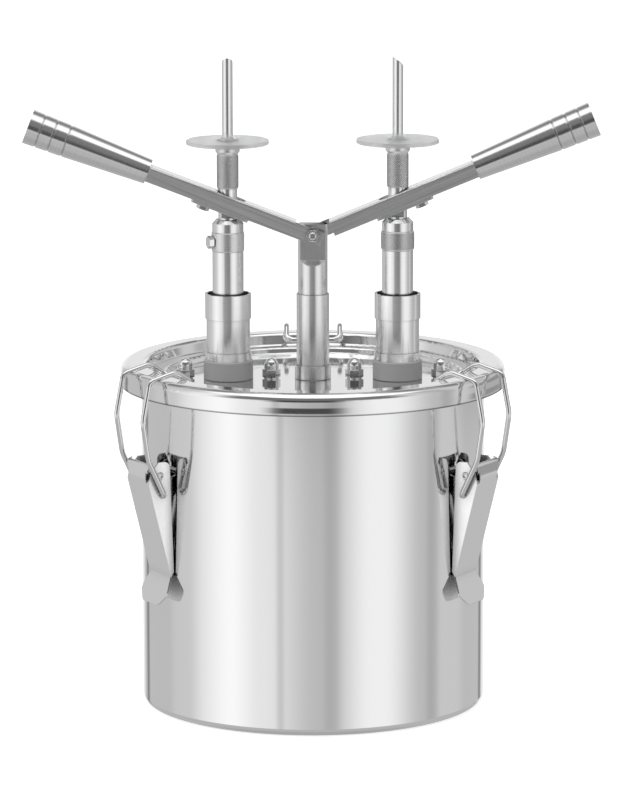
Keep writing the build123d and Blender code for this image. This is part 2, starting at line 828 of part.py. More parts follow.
for name, side in sides:
    angle = radians(lever_angles[name])
    # lever frame: x along the lever, y towards the wall that hangs on the pivot, z up
    lever_frame = Plane(
        origin=(0, 0, pivot_z),
        x_dir=(side * cos(angle), 0, sin(angle)),
        z_dir=(-side * sin(angle), 0, cos(angle)),
    )
    section = at(lever_frame, (channel_cut, 0, 0), (0, 1, 0), (1, 0, 0))
    top_face = at(lever_frame, (0, 0, channel_top), (1, 0, 0), (0, 0, 1))
    side_face = at(lever_frame, (0, channel_half, 0), (1, 0, 0), (0, 1, 0))

    with BuildPart() as lever:
        depth = channel_top + channel_bottom
        middle = (channel_top - channel_bottom) / 2
        with BuildSketch(section) as profile:
            with Locations((0, middle)):
                Rectangle(2 * channel_half, depth)
            fillet(profile.vertices().group_by(Axis.Y)[-1], radius=channel_corner)
            with Locations((0, middle - channel_wall / 2)):
                Rectangle(2 * wall_inner, depth - channel_wall, mode=Mode.SUBTRACT)
        extrude(amount=lever_reach - channel_cut)
        # the wall that runs on to the pivot
        with BuildSketch(side_face) as tail:
            with Locations(((channel_cut - pivot_wall_end) / 2, -middle)):
                Rectangle(channel_cut + pivot_wall_end, depth)
        extrude(amount=-channel_wall)
        with BuildSketch(side_face) as pivot_hole:
            Circle(pivot_bolt_radius + running_fit)
        extrude(amount=-channel_wall, mode=Mode.SUBTRACT)
        # slot in the web for the stem, over the whole travel
        stem_half = stem_radius + web_slot_play
        high = radians(lever_angles[name])
        low = radians(lever_angles[name] - press_angle)
        slot_start = min(
            (pump_offset - stem_half) / cos(low) + channel_top * tan(low),
            (pump_offset - stem_half) / cos(high),
        )
        slot_end = max(
            (pump_offset + stem_half) / cos(high) + channel_top * tan(high),
            (pump_offset + stem_half) / cos(low),
        )
        with BuildSketch(top_face) as slot:
            with Locations(((slot_start + slot_end) / 2, 0)):
                SlotOverall(slot_end - slot_start + 2 * web_slot_play, 2 * stem_half)
        extrude(amount=-channel_wall - web_slot_play, mode=Mode.SUBTRACT)
        with BuildSketch(top_face) as screw_hole:
            with Locations((plate_screw_place, 0)):
                Circle(plate_screw_radius + running_fit)
        extrude(amount=-channel_wall - web_slot_play, mode=Mode.SUBTRACT)
        # tang that carries the handle
        tang_start = lever_reach - tang_in_channel
        tang_plane = at(lever_frame, (tang_start, 0, handle_axis), (0, 1, 0), (1, 0, 0))
        extrude(circles(tang_plane, tang_radius), amount=tang_in_channel + tang_in_handle)
    write(lever, f"lever_{name}")

    with BuildPart() as handle:
        handle_plane = at(lever_frame, (lever_reach, 0, handle_axis), (1, 0, 0), (0, 1, 0))
        tang_bore = tang_radius + running_fit
        waist = handle_length - handle_grooves[-1]
        taper = (handle_end_radius - handle_waist_radius) / handle_grooves[-1]
        with BuildSketch(handle_plane) as grip:
            with BuildLine():
                Polyline(
                    (0, tang_bore),
                    (0, handle_inner_radius),
                    (waist, handle_waist_radius),
                    (handle_length, handle_end_radius),
                    (handle_length, 0),
                    (tang_in_handle, 0),
                    (tang_in_handle, tang_bore),
                    close=True,
                )
            make_face()
            # grooves near the outer end
            for groove in handle_grooves:
                with BuildLine():
                    along = handle_length - groove
                    around = handle_end_radius - taper * groove
                    Polyline(
                        (along - groove_half_width, around + groove_depth),
                        (along - groove_half_width, around),
                        (along, around - groove_depth),
                        (along + groove_half_width, around),
                        (along + groove_half_width, around + groove_depth),
                        close=True,
                    )
                make_face(mode=Mode.SUBTRACT)
        handle_direction = lever_frame.x_dir
        revolve(axis=Axis(handle_plane.origin, handle_direction))
    write(handle, f"handle_{name}")

    with BuildPart() as key_plate:
        plate_plane = at(lever_frame, (0, 0, -channel_bottom), (1, 0, 0), (0, 0, 1))
        fork_half = grip_flat + seat_gap
        fork_end = (pump_offset / cos(high)) + grip_flat / 2 + seat_gap
        with BuildSketch(plate_plane) as blank:
            with Locations((plate_start + plate_length / 2, 0)):
                Rectangle(plate_length, 2 * plate_half)
            fillet(blank.vertices(), radius=channel_corner)
            with Locations(((plate_start + fork_end) / 2, 0)):
                Rectangle(fork_end - plate_start, 2 * fork_half, mode=Mode.SUBTRACT)
            with Locations((fork_end, 0)):
                Circle(fork_half, mode=Mode.SUBTRACT)
            with Locations((plate_screw_place, 0)):
                Circle(plate_screw_radius + running_fit, mode=Mode.SUBTRACT)
        extrude(amount=-plate_thickness)
    write(key_plate, f"key_plate_{name}")

    with BuildPart() as plate_screw:
        under = -channel_bottom - plate_thickness
        seat_plane = at(lever_frame, (plate_screw_place, 0, under), (1, 0, 0), (0, 0, 1))
        extrude(hexagon(seat_plane, small_hex_flats), amount=-plate_screw_head)
        extrude(circles(seat_plane, plate_screw_radius), amount=channel_top - under - step_gap)
    write(plate_screw, f"plate_screw_{name}")

# ---------------------------------------------------------------- latches

web_r = latch_pivot_r + latch_web_reach
foot_r = drum_radius + latch_foot_gap + latch_sheet
foot_z = latch_pivot_z - latch_foot_drop
head_z = latch_pivot_z + latch_head
rear_r = drum_radius + latch_back_gap
heel_r = sqrt(drum_radius**2 - latch_half**2) + latch_heel_gap
inner_half = latch_half - latch_sheet
web_lean = (web_r - foot_r) / latch_foot_drop


def latch_frame(azimuth):
    """The frame of one latch: x outwards, y along the rim, z up."""
    turn = radians(azimuth)
    return Plane(origin=(0, 0, 0), x_dir=(cos(turn), sin(turn), 0), z_dir=(0, 0, 1))


with BuildPart() as latch_brackets:
    for name, azimuth in latch_azimuths:
        frame = latch_frame(azimuth)
        side_plane = at(frame, (0, 0, 0), (1, 0, 0), (0, -1, 0))
        root_z = latch_pivot_z - bracket_height
        plate_r = drum_radius + bracket_sheet
        with BuildSketch(side_plane) as ear:
            with BuildLine():
                Polyline(
                    (drum_radius - bracket_sheet, root_z),
                    (plate_r, root_z),
                    (latch_pivot_r + bracket_eye * cos(pi / 6), latch_pivot_z - bracket_eye * sin(pi / 6)),
                    (latch_pivot_r, latch_pivot_z),
                    (plate_r, latch_pivot_z - latch_pin_radius),
                    (drum_radius - bracket_sheet, latch_pivot_z - latch_pin_radius),
                    close=True,
                )
            make_face()
            with Locations((latch_pivot_r, latch_pivot_z)):
                Circle(bracket_eye)
        extrude(amount=bracket_half, both=True)
        # the web between the ears is cut away outside the base plate
        with BuildSketch(side_plane) as gap:
            with Locations((plate_r + 2 * bracket_height, latch_pivot_z)):
                Rectangle(4 * bracket_height, 4 * bracket_height)
        extrude(amount=bracket_half - bracket_sheet, both=True, mode=Mode.SUBTRACT)
        with BuildSketch(side_plane) as hole:
            with Locations((latch_pivot_r, latch_pivot_z)):
                Circle(latch_pin_radius + running_fit)
        extrude(amount=2 * bracket_half, both=True, mode=Mode.SUBTRACT)
    # the base plates follow the drum's wall
    extrude(circles(Plane.XY, drum_radius), amount=drum_height, mode=Mode.SUBTRACT)
write(latch_brackets, "latch_brackets")

with BuildPart() as latch_pins:
    for name, azimuth in latch_azimuths:
        frame = latch_frame(azimuth)
        for end in (-1, 1):
            head_at = (latch_pivot_r, end * (latch_half + rivet_gap), latch_pivot_z)
            head_plane = at(frame, head_at, (1, 0, 0), (0, end, 0))
            extrude(circles(head_plane, rivet_head_radius), amount=rivet_head, taper=30)
            extrude(circles(head_plane, latch_pin_radius), amount=-latch_half - rivet_gap)
            extrude(circles(head_plane, rivet_dimple), amount=rivet_head, mode=Mode.SUBTRACT)
write(latch_pins, "latch_pins")

for name, azimuth in latch_azimuths:
    frame = latch_frame(azimuth)
    side_plane = at(frame, (0, 0, 0), (1, 0, 0), (0, -1, 0))
    front_plane = at(frame, (0, 0, 0), (0, 1, 0), (1, 0, 0))

    with BuildPart() as latch_lever:
        # outer wedge of the stamped channel
        with BuildSketch(side_plane) as wedge:
            with BuildLine():
                Polyline(
                    (rear_r, head_z),
                    (web_r - latch_fold, head_z),
                    (web_r, latch_pivot_z),
                    (foot_r, foot_z),
                    (heel_r, foot_z + 3 * latch_sheet),
                    close=True,
                )
            make_face()
            fillet(wedge.vertices().group_by(Axis.Y)[-1], radius=2 * latch_fold)
            fillet(wedge.vertices().filter_by(lambda v: abs(v.Y - latch_pivot_z) < latch_sheet), radius=latch_knee)
        extrude(amount=latch_half, both=True)
        # hollow of the channel, open towards the drum and at the top
        with BuildSketch(side_plane) as hollow:
            with BuildLine():
                Polyline(
                    (rear_r - latch_head, head_z + latch_head),
                    (web_r - latch_fold - latch_sheet, head_z + latch_head),
                    (web_r - latch_fold - latch_sheet, head_z),
                    (web_r - latch_sheet, latch_pivot_z),
                    (foot_r - latch_sheet, foot_z),
                    (rear_r - latch_head, foot_z),
                    close=True,
                )
            make_face()
            inner_knee = hollow.vertices().filter_by(lambda v: abs(v.Y - latch_pivot_z) < latch_sheet)
            fillet(inner_knee, radius=latch_knee - latch_sheet)
        extrude(amount=inner_half, both=True, mode=Mode.SUBTRACT)
        # finger tab, bent outwards
        lean = radians(latch_tab_angle)
        tab_up = (-sin(lean), 0, cos(lean))
        tab_out = (cos(lean), 0, sin(lean))
        tab_plane = at(frame, (foot_r, 0, foot_z), (0, 1, 0), tab_out)
        with BuildSketch(tab_plane) as tab:
            with BuildLine():
                Polyline(
                    (-latch_tab_neck, latch_sheet),
                    (-latch_tab_half, -latch_tab_length * 0.6),
                    (-latch_tab_half * 0.6, -latch_tab_length),
                    (latch_tab_half * 0.6, -latch_tab_length),
                    (latch_tab_half, -latch_tab_length * 0.6),
                    (latch_tab_neck, latch_sheet),
                    close=True,
                )
            make_face()
            fillet(tab.vertices().group_by(Axis.Y)[0], radius=latch_tab_round)
            fillet(tab.vertices().sort_by(Axis.X)[0], radius=latch_tab_round / 2)
            fillet(tab.vertices().sort_by(Axis.X)[-1], radius=latch_tab_round / 2)
        extrude(amount=-latch_sheet)
        # holes for the pivot rivet and for the ends of the bail
        with BuildSketch(side_plane) as holes:
            with Locations((latch_pivot_r, latch_pivot_z)):
                Circle(latch_pin_radius + running_fit)
            with Locations((bail_end_r, bail_end_z)):
                Circle(bail_radius + running_fit)
        extrude(amount=2 * latch_half, both=True, mode=Mode.SUBTRACT)
        # hooked slots: along each fold, then over the side plate to its top edge
        for end in (-1, 1):
            slot_y = end * (latch_half - latch_slot / 2)
            fold_at = (web_r - latch_slot_reach, 0, latch_pivot_z)
            with BuildSketch(at(frame, fold_at, (0, 1, 0), (1, 0, web_lean))) as slot:
                with BuildLine():
                    Line((slot_y, -latch_head * 0.85), (slot_y, latch_head * 0.2))
                trace(line_width=latch_slot)
                with Locations((slot_y, -latch_head * 0.85)):
                    Circle(latch_slot / 2)
            extrude(amount=2 * latch_slot_reach, mode=Mode.SUBTRACT)
            plate_at = (0, end * (inner_half - step_gap), 0)
            hook_out = latch_pivot_r + latch_web_reach - latch_slot_reach / 2
            with BuildSketch(at(frame, plate_at, (1, 0, 0), (0, -1, 0))) as hook:
                with BuildLine():
                    FilletPolyline(
                        (hook_out, latch_pivot_z),
                        (hook_out, latch_pivot_z + latch_head * 0.25),
                        (hook_out - latch_head * 0.7, latch_pivot_z + latch_head * 1.1),
                        radius=latch_slot,
                    )
                trace(line_width=latch_slot)
            extrude(amount=-end * 2 * latch_sheet, mode=Mode.SUBTRACT)
    write(latch_lever, f"latch_lever_{name}")

    with BuildPart() as latch_bail:
        hook_z = lid_top - bail_hook_drop
        crest_z = lid_top + bail_crest_height
        wire_end = inner_half - latch_sheet
        leg = [
            (bail_end_r, bail_half, bail_end_z),
            (latch_pivot_r + bail_knee_out, bail_half, latch_pivot_z + bail_knee_rise),
            (latch_pivot_r + bail_bulge_out, bail_half, latch_pivot_z + bail_bulge_rise),
            (lid_skirt_radius + bail_shoulder_out, bail_half, lid_top),
            (lid_throat + bail_crest_out, bail_half, crest_z),
            (lid_throat - bail_hook_in, bail_half, hook_z),
        ]
        other_leg = [(r, -y, z) for r, y, z in reversed(leg)]
        route = [(bail_end_r, wire_end, bail_end_z), *leg, *other_leg]
        route.append((bail_end_r, -wire_end, bail_end_z))
        leg_bends = [
            bail_end_bend,
            bail_bulge_bend,
            bail_bulge_bend,
            bail_shoulder_bend,
            bail_crest_bend,
            bail_hook_bend,
        ]
        route_bends = [*leg_bends, *reversed(leg_bends)]
        with BuildLine() as wire_line:
            FilletPolyline(*[frame.from_local_coords(Vector(*p)) for p in route], radius=route_bends)
        with BuildSketch(Plane(origin=wire_line.line @ 0, z_dir=wire_line.line % 0)) as wire:
            Circle(bail_radius)
        sweep()
    write(latch_bail, f"latch_bail_{name}")
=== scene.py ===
"""Looks of the double donut filler: a studio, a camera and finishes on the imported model.

Everything is in metres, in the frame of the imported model: origin under the drum, +Z up,
the front towards -Y.
"""

import math

import bpy
import numpy as np
from bpy.props import FloatProperty, FloatVectorProperty, IntProperty, PointerProperty
from mathutils import Euler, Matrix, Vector


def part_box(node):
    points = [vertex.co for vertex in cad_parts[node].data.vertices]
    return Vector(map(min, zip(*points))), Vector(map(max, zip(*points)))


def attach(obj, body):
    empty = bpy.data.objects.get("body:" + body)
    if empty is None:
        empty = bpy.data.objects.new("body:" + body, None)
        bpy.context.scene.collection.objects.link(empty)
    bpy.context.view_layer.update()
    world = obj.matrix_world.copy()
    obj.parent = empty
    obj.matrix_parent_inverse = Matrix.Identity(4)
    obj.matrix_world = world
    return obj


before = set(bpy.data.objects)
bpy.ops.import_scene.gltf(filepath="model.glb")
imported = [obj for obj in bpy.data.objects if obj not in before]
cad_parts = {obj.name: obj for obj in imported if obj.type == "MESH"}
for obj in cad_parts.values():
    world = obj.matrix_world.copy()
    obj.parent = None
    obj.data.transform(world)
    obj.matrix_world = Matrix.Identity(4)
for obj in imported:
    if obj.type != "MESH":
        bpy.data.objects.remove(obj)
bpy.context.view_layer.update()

bl_info = {
    "name": "Donut filler finish",
    "version": (1, 0, 0),
    "blender": (4, 5, 0),
    "location": "3D view > Sidebar > Donut filler",
    "description": "Finishes the packed donut filler and sets up its studio",
    "category": "Object",
}

# the tent's panels: middle, inner and outer half width in degrees, and added brightness
TENT_PANELS = (
    (-68.0, 10.0, 34.0, 0.2),
    (-45.0, 10.0, 50.0, 0.33),
    (-102.0, 2.0, 14.0, 0.08),
    (-22.0, 0.5, 4.0, -0.17),
    (13.0, 1.0, 9.0, -0.1),
    (44.0, 4.0, 36.0, 0.43),
    (88.0, 1.0, 9.0, -0.12),
    (104.0, 8.0, 22.0, 0.08),
    (-150.0, 1.0, 5.0, -0.3),
    (153.5, 1.0, 5.0, -0.3),
)
SIDES = ("left", "right")
LATCHES = ("left", "right", "back")
TONGUE_LENGTH = 0.0286  # of the milled part under the post's top
TONGUE_HALF = 0.00556  # milled faces lie nearer to the middle plane than this
SHADING_SAMPLES = 4  # of the bevel and the painted crevice shade nodes
FULL_TURN = 2.0 * math.pi
FLOOR_DROP = 0.0004  # the floor lies this far under the drum
FLOOR_RINGS = 24
FLOOR_SPOKES = 96


def middle(node):
    """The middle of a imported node's box."""
    low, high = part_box(node)
    return (low + high) / 2


# ------------------------------------------------------------------ sizes and colours


class StudioSizes(bpy.types.PropertyGroup):
    """Camera, floor and light tent."""

    camera_place: FloatVectorProperty(
        name="Camera place",
        description="Where the camera stands",
        default=(0.00559, -3.6, 0.8704),
        subtype="TRANSLATION",
        unit="LENGTH",
    )
    camera_pitch: FloatProperty(
        name="Camera pitch",
        description="How far the camera looks down",
        default=0.180,
        unit="ROTATION",
    )
    camera_roll: FloatProperty(
        name="Camera roll",
        description="Turn of the picture",
        default=0.001,
        unit="ROTATION",
    )
    focal_length: FloatProperty(
        name="Focal length",
        description="Lens for a 36 mm long picture side, in millimetres",
        default=237.2,
    )
    floor_radius: FloatProperty(
        name="Floor radius",
        description="Reach of the floor",
        default=9.0,
        unit="LENGTH",
    )
    floor_colour: FloatVectorProperty(
        name="Floor colour",
        description="Colour of the floor",
        default=(0.86, 0.86, 0.86),
        subtype="COLOR",
    )
    floor_glow: FloatProperty(
        name="Floor glow",
        description="White that the floor shows to the camera on top of its lit colour",
        default=0.62,
    )
    tent_level: FloatProperty(
        name="Tent level",
        description="Brightness of the tent's plain wall",
        default=0.55,
    )
    strut_level: FloatProperty(
        name="Strut level",
        description="Brightness of the dark strut high at the back",
        default=0.24,
    )
    roof_level: FloatProperty(
        name="Roof level",
        description="Brightness of the tent's roof",
        default=1.3,
    )
    room_level: FloatProperty(
        name="Room level",
        description="Brightness of the dark opening behind the camera",
        default=0.2,
    )
    slot_level: FloatProperty(
        name="Slot level",
        description="Brightness of the opening's low middle part",
        default=0.07,
    )
    flag_level: FloatProperty(
        name="Flag level",
        description="Brightness of the dull flag on the right",
        default=0.3,
    )
    apron_level: FloatProperty(
        name="Apron level",
        description="Brightness of the table's front part",
        default=0.5,
    )
    table_level: FloatProperty(
        name="Table level",
        description="Brightness of the table top round the object",
        default=0.42,
    )
    lamp_power: FloatProperty(
        name="Lamp power",
        description="Power of the overhead lamp in watts",
        default=14.0,
        unit="POWER",
    )


class SteelFinish(bpy.types.PropertyGroup):
    """Colours and roughness of the steel pieces."""

    polished_colour: FloatVectorProperty(
        name="Polished steel",
        description="Colour of the drum, lid and wire",
        default=(0.88, 0.88, 0.885),
        subtype="COLOR",
    )
    polished_roughness: FloatProperty(
        name="Polish",
        description="Roughness of the drum",
        default=0.07,
        min=0.0,
        max=1.0,
    )
    turned_colour: FloatVectorProperty(
        name="Turned steel",
        description="Colour of the post, sleeves and tubes",
        default=(0.83, 0.83, 0.835),
        subtype="COLOR",
    )
    turned_roughness: FloatProperty(
        name="Turned roughness",
        description="Roughness of turned surfaces",
        default=0.2,
        min=0.0,
        max=1.0,
    )
    brushed_colour: FloatVectorProperty(
        name="Brushed sheet",
        description="Colour of the levers and key plates",
        default=(0.72, 0.72, 0.725),
        subtype="COLOR",
    )
    brushed_roughness: FloatProperty(
        name="Brushed roughness",
        description="Roughness of brushed sheet",
        default=0.34,
        min=0.0,
        max=1.0,
    )
    screw_colour: FloatVectorProperty(
        name="Screws",
        description="Colour of screws and nuts",
        default=(0.72, 0.72, 0.725),
        subtype="COLOR",
    )
    edge_round: FloatProperty(
        name="Edge round",
        description="Radius of broken edges on sheet and screws",
        default=0.0004,
        unit="LENGTH",
    )


class PlasticFinish(bpy.types.PropertyGroup):
    """Colours of the plastic and rubber pieces."""

    bush_colour: FloatVectorProperty(
        name="Bush",
        description="Colour of the grey bushes",
        default=(0.45, 0.45, 0.45),
        subtype="COLOR",
    )
    disc_colour: FloatVectorProperty(
        name="Disc",
        description="Colour of the stop discs",
        default=(0.97, 0.98, 0.975),
        subtype="COLOR",
    )
    inner_colour: FloatVectorProperty(
        name="Inner plastic",
        description="Colour of the pistons and guides",
        default=(0.84, 0.84, 0.82),
        subtype="COLOR",
    )
    rubber_colour: FloatVectorProperty(
        name="Rubber",
        description="Colour of gasket and seals",
        default=(0.72, 0.72, 0.70),
        subtype="COLOR",
    )


class SkirtFinish(bpy.types.PropertyGroup):
    """The lid's skirt: its slight swell, and the shade painted as a dark band on its bottom edge.
    """

    inner_radius: FloatProperty(
        name="Skirt radius",
        description="Surfaces further out than this belong to the skirt",
        default=0.127,
        unit="LENGTH",
    )
    swell_top: FloatProperty(
        name="Swell top",
        description="Height at which the swell begins",
        default=0.2318,
        unit="LENGTH",
    )
    swell_foot: FloatProperty(
        name="Swell foot",
        description="Height at which the swell is full",
        default=0.2272,
        unit="LENGTH",
    )
    swell_depth: FloatProperty(
        name="Swell depth",
        description="How far the swell stands proud",
        default=0.00011,
        unit="LENGTH",
    )
    # the lip settings place and colour the painted shade on the skirt's bottom edge
    lip_top: FloatProperty(
        name="Lip top",
        description="Height over the skirt's foot at which the dull edge begins",
        default=0.0014,
        unit="LENGTH",
    )
    lip_foot: FloatProperty(
        name="Lip foot",
        description="Height over the skirt's foot at which the edge is all dull",
        default=0.0006,
        unit="LENGTH",
    )
    # colour of the painted shade on the skirt's bottom edge
    lip_shade_colour: FloatVectorProperty(
        name="Lip colour",
        description="Colour of the cut edge",
        default=(0.3, 0.3, 0.3),
        subtype="COLOR",
    )


class KnurlSizes(bpy.types.PropertyGroup):
    """Knurl of the needle holders and of the right-hand stop collar."""

    holder_teeth: IntProperty(
        name="Holder teeth",
        description="Diamonds round a needle holder",
        default=34,
        min=8,
    )
    holder_radius: FloatProperty(
        name="Holder radius",
        description="Root radius of the holder's knurl",
        default=0.00725,
        unit="LENGTH",
    )
    holder_band: FloatProperty(
        name="Holder band",
        description="Height of the holder's knurled part",
        default=0.0242,
        unit="LENGTH",
    )
    holder_depth: FloatProperty(
        name="Holder depth",
        description="Height of the holder's diamonds",
        default=0.00032,
        unit="LENGTH",
    )
    collar_teeth: IntProperty(
        name="Collar teeth",
        description="Diamonds round the stop collar",
        default=72,
        min=8,
    )
    collar_radius: FloatProperty(
        name="Collar radius",
        description="Root radius of the collar's knurl",
        default=0.0115,
        unit="LENGTH",
    )
    collar_band: FloatProperty(
        name="Collar band",
        description="Height of the collar's knurled part",
        default=0.0135,
        unit="LENGTH",
    )
    collar_depth: FloatProperty(
        name="Collar depth",
        description="Height of the collar's diamonds",
        default=0.00014,
        unit="LENGTH",
    )
    band_margin: FloatProperty(
        name="Band margin",
        description="Plain edge left at each end of a knurled band",
        default=0.0006,
        unit="LENGTH",
    )
    steps_per_tooth: IntProperty(
        name="Steps per tooth",
        description="Grid steps across one diamond",
        default=6,
        min=2,
    )


# ------------------------------------------------------------------ node helpers


def add_node(tree, kind, **settings):
    """A new node of a kind, with its settings."""
    node = tree.nodes.new(kind)
    for key, value in settings.items():
        setattr(node, key, value)
    return node


def feed(tree, socket, value):
    """Joins an output to the socket, or sets a plain value on it."""
    if isinstance(value, bpy.types.NodeSocket):
        tree.links.new(value, socket)
    else:
        socket.default_value = value


def calc(tree, operation, *values):
    """The output of a Math node."""
    node = add_node(tree, "ShaderNodeMath", operation=operation)
    for socket, value in zip(node.inputs, values):
        feed(tree, socket, value)
    return node.outputs[0]


def calc_vector(tree, operation, *values):
    """The vector output of a Vector Math node, or its number for a dot product or a length."""
    node = add_node(tree, "ShaderNodeVectorMath", operation=operation)
    for socket, value in zip(node.inputs, values):
        feed(tree, socket, value)
    return node.outputs["Value" if operation in {"DOT_PRODUCT", "LENGTH"} else "Vector"]


def scaled(tree, vector, factor):
    """A vector or colour times a number."""
    node = add_node(tree, "ShaderNodeVectorMath", operation="SCALE")
    feed(tree, node.inputs[0], vector)
    feed(tree, node.inputs["Scale"], factor)
    return node.outputs["Vector"]


def axes(tree, vector):
    """The outputs X, Y and Z of a vector."""
    node = add_node(tree, "ShaderNodeSeparateXYZ")
    feed(tree, node.inputs[0], vector)
    return node.outputs


def object_position(tree):
    """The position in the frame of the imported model, where all the objects have their origin."""
    return add_node(tree, "ShaderNodeTexCoord").outputs["Object"]


def face_normal(tree):
    """The outputs X, Y and Z of the face's own normal."""
    return axes(tree, add_node(tree, "ShaderNodeNewGeometry").outputs["True Normal"])


def shown_ray(tree):
    """1 for rays that come from the camera straight or through a clear piece, else 0."""
    rays = add_node(tree, "ShaderNodeLightPath").outputs
    return calc(tree, "MAXIMUM", rays["Is Camera Ray"], rays["Is Transmission Ray"])


def between(tree, share, first, second):
    """A number between first and second."""
    node = add_node(tree, "ShaderNodeMix", data_type="FLOAT")
    feed(tree, node.inputs[0], share)
    feed(tree, node.inputs[2], first)
    feed(tree, node.inputs[3], second)
    return node.outputs[0]


def soft_step(tree, value, start, end, low=0.0, high=1.0):
    """A smooth step from low at start to high at end."""
    node = add_node(tree, "ShaderNodeMapRange", interpolation_type="SMOOTHSTEP")
    for socket, number in zip(node.inputs, (value, start, end, low, high)):
        feed(tree, socket, number)
    return node.outputs["Result"]


def mix_colours(tree, share, first, second):
    """A blend of two colours."""
    node = add_node(tree, "ShaderNodeMix", data_type="RGBA")
    feed(tree, node.inputs["Factor"], share)
    for socket, value in zip((node.inputs[6], node.inputs[7]), (first, second)):
        feed(tree, socket, value)
    return node.outputs[2]


def noise(tree, position, scale, detail=3.0, rough=0.55):
    """Grey noise at a position."""
    node = add_node(tree, "ShaderNodeTexNoise")
    feed(tree, node.inputs["Vector"], position)
    node.inputs["Scale"].default_value = scale
    node.inputs["Detail"].default_value = detail
    node.inputs["Roughness"].default_value = rough
    return node.outputs["Fac"]


def line_noise(tree, place, density, detail=3.0):
    """Noise that changes only along one number, as tool marks do."""
    node = add_node(tree, "ShaderNodeTexNoise", noise_dimensions="1D")
    feed(tree, node.inputs["W"], place)
    node.inputs["Scale"].default_value = density
    node.inputs["Detail"].default_value = detail
    node.inputs["Roughness"].default_value = 0.7
    return node.outputs["Fac"]


def new_finish(name, colour, roughness, metallic=1.0):
    """A material with a Principled shader, as (material, tree, shader, position)."""
    material = bpy.data.materials.new(name)
    material.use_nodes = True
    tree = material.node_tree
    shader = tree.nodes["Principled BSDF"]
    shader.inputs["Base Color"].default_value = (*colour, 1.0)
    shader.inputs["Metallic"].default_value = metallic
    shader.inputs["Roughness"].default_value = roughness
    return material, tree, shader, object_position(tree)


def vary(tree, socket, pattern, centre, spread):
    """Feeds a socket with a pattern turned into centre plus or minus spread."""
    shifted = calc(tree, "SUBTRACT", pattern, 0.5)
    feed(tree, socket, calc(tree, "MULTIPLY_ADD", shifted, 2.0 * spread, centre))


def relief(tree, shader, pattern, depth, strength=1.0, edge=0.0):
    """A bump of a pattern, over edges rounded by the given radius."""
    bump = add_node(tree, "ShaderNodeBump")
    bump.inputs["Strength"].default_value = strength
    bump.inputs["Distance"].default_value = depth
    feed(tree, bump.inputs["Height"], pattern)
    if edge:
        rounded = add_node(tree, "ShaderNodeBevel", samples=SHADING_SAMPLES)
        rounded.inputs["Radius"].default_value = edge
        feed(tree, bump.inputs["Normal"], rounded.outputs["Normal"])
    feed(tree, shader.inputs["Normal"], bump.outputs["Normal"])


def paint_crevice_shade(tree, shader, reach, share):
    """Paints shade: takes a share of the colour away where other surfaces stand closer than the
    reach.
    """
    socket = shader.inputs["Base Color"]
    colour = socket.links[0].from_socket if socket.links else tuple(socket.default_value)[:3]
    open_sky = add_node(tree, "ShaderNodeAmbientOcclusion", samples=SHADING_SAMPLES)
    open_sky.inputs["Distance"].default_value = reach
    kept = calc(tree, "MULTIPLY_ADD", open_sky.outputs["AO"], share, 1.0 - share)
    feed(tree, socket, scaled(tree, colour, kept))


def along_grain(tree, shader, direction, amount):
    """Draws highlights out along a direction given in the piece's own frame."""
    turned = add_node(
        tree,
        "ShaderNodeVectorTransform",
        vector_type="VECTOR",
        convert_from="OBJECT",
        convert_to="WORLD",
    )
    turned.inputs[0].default_value = direction
    shader.inputs["Anisotropic"].default_value = amount
    feed(tree, shader.inputs["Tangent"], turned.outputs[0])


def dress(material, *nodes):
    """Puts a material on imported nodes."""
    for name in nodes:
        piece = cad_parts[name]
        if not piece.material_slots:
            piece.data.materials.append(material)
        for place in piece.material_slots:
            place.material = material


# ------------------------------------------------------------------ finishes


def polished_sheet(name, colour, roughness, radial=False, edge=0.0):
    """Polished steel sheet with faint polishing lines round the Z axis.

    The lines follow the height, or with radial set the distance from the axis.
    """
    material, tree, shader, position = new_finish(name, colour, roughness)
    place = axes(tree, position)["Z"]
    if radial:
        flat = calc_vector(tree, "MULTIPLY", position, (1.0, 1.0, 0.35))
        place = calc_vector(tree, "LENGTH", flat)
    lines = line_noise(tree, place, 900.0, 4.0)
    cloud = noise(tree, position, 9.0, 2.0)
    both = calc(tree, "MULTIPLY_ADD", lines, 0.6, calc(tree, "MULTIPLY", cloud, 0.4))
    vary(tree, shader.inputs["Roughness"], both, roughness, 0.35 * roughness)
    relief(tree, shader, lines, 0.000004, 0.35, edge)
    return material


def turned_metal(name, colour, roughness, axis=(0.0, 0.0, 1.0), density=1400.0, edge=0.0):
    """Turned metal: tool marks run round the axis, so they change only along it.

    The place of a mark is the position's share along the axis.
    """
    material, tree, shader, position = new_finish(name, colour, roughness)
    place = calc_vector(tree, "DOT_PRODUCT", position, axis)
    fine = line_noise(tree, place, density, 4.0)
    broad = line_noise(tree, place, density / 12.0, 2.0)
    both = calc(tree, "MULTIPLY_ADD", fine, 0.65, calc(tree, "MULTIPLY", broad, 0.35))
    vary(tree, shader.inputs["Roughness"], both, roughness, 0.3 * roughness)
    smudge = noise(tree, position, 60.0, 3.0)
    tint = calc(tree, "MULTIPLY_ADD", fine, 0.16, calc(tree, "MULTIPLY_ADD", smudge, 0.06, 0.88))
    feed(tree, shader.inputs["Base Color"], scaled(tree, colour, tint))
    # painted shade: the colour darkens where other surfaces stand close
    paint_crevice_shade(tree, shader, 0.0025, 0.42)
    relief(tree, shader, both, 0.00001, 0.6, edge)
    along_grain(tree, shader, axis, 0.6)
    return material


def stamped_metal(name, colour, roughness, edge):
    """Smooth cold-rolled sheet, with shade painted dark inside its folds and slots."""
    material, tree, shader, position = new_finish(name, colour, roughness)
    cloud = noise(tree, position, 40.0, 3.0)
    vary(tree, shader.inputs["Roughness"], cloud, roughness, 0.25 * roughness)
    # painted shade: the colour darkens inside folds and slots, where other surfaces stand close
    paint_crevice_shade(tree, shader, 0.009, 0.92)
    relief(tree, shader, cloud, 0.00002, 0.3, edge)
    return material


